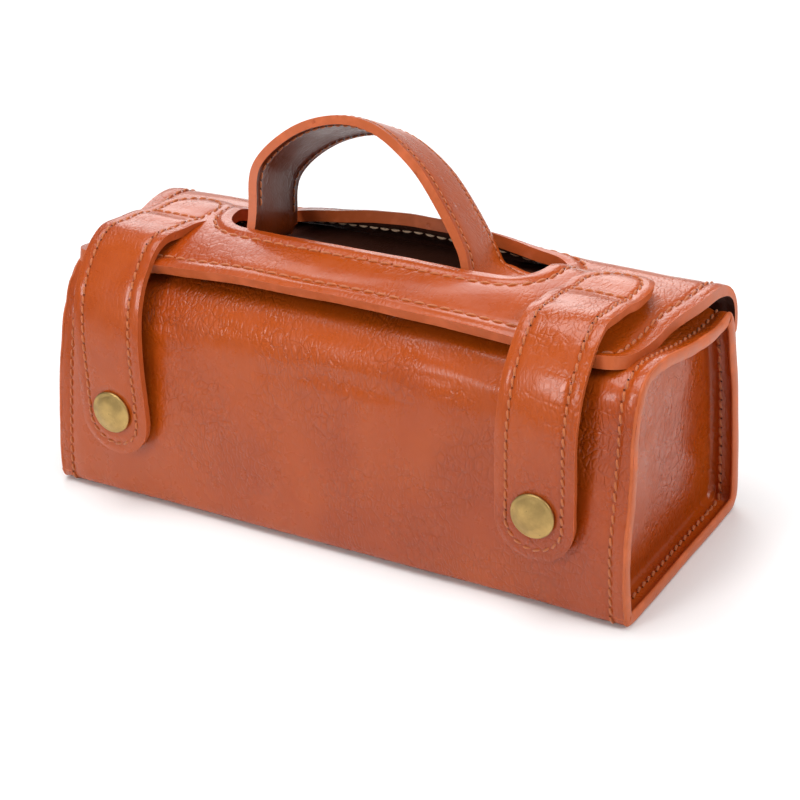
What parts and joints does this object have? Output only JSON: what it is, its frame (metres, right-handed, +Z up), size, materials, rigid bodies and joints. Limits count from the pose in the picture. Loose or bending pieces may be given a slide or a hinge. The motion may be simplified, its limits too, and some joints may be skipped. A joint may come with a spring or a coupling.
{
  "type": "brush roll case",
  "caption": "Small box-shaped leather brush case with recessed ends, a slotted hinged lid, a carrying handle and snap straps.",
  "frame": {"origin": "on the resting surface, under the middle of the case", "axes": "+X along the length to the right seen from the front, -Y towards the front with the straps, +Z up"},
  "size_m": [0.22, 0.0919, 0.1269],
  "materials": {
    "case_leather": "glossy coated, finely creased",
    "strap_leather": "glossy coated, painted edges",
    "snap_brass": "antiqued",
    "lining": "matt",
    "lid_lining": "satin",
    "board": "matt"
  },
  "bodies": {
    "case": {"body_wrap": "case_leather", "top_panel": "case_leather", "front_board": "board", "bottom_board": "board", "back_board": "board", "body_lining": "lining", "left_end_panel": "case_leather", "right_end_panel": "case_leather", "left_end_board": "board", "right_end_board": "board", "left_end_lining": "lining", "right_end_lining": "lining", "handle_backing": "board", "left_handle_foot": "strap_leather", "right_handle_foot": "strap_leather", "left_snap_stud": "snap_brass", "right_snap_stud": "snap_brass", "left_snap_backer": "snap_brass", "right_snap_backer": "snap_brass", "hinge_fold": "case_leather"},
    "lid": {"lid_leather": "case_leather", "lid_board": "board", "lid_lining": "lid_lining", "left_strap_anchor": "strap_leather", "right_strap_anchor": "strap_leather"},
    "handle": {"handle_outer": "strap_leather", "handle_core": "board", "handle_inner": "strap_leather"},
    "left_strap": {"left_strap_skin": "strap_leather", "left_strap_backing": "strap_leather", "left_snap_cap": "snap_brass", "left_snap_socket": "snap_brass"},
    "right_strap": {"right_strap_skin": "strap_leather", "right_strap_backing": "strap_leather", "right_snap_cap": "snap_brass", "right_snap_socket": "snap_brass"}
  },
  "joints": [
    {"name": "lid_hinge", "type": "hinge", "parent": "case", "child": "lid", "pos_m": [0, 0.0391, 0.0795], "axis": [-1, 0, 0], "range_deg": [0, 85]},
    {"name": "handle_tilt", "type": "hinge", "parent": "case", "child": "handle", "pos_m": [0, 0.0083, 0.07927], "axis": [-1, 0, 0], "range_deg": [0, 22.5]},
    {"name": "left_strap_hinge", "type": "hinge", "parent": "lid", "child": "left_strap", "pos_m": [-0.0807, -0.0283, 0.08939], "axis": [-1, 0, 0], "range_deg": [0, 150]},
    {"name": "right_strap_hinge", "type": "hinge", "parent": "lid", "child": "right_strap", "pos_m": [0.0807, -0.0283, 0.08939], "axis": [-1, 0, 0], "range_deg": [0, 150]}
  ],
  "couplings": [
    {"joint": "handle_tilt", "follows": "lid_hinge", "ratio": 0.26471}
  ]
}
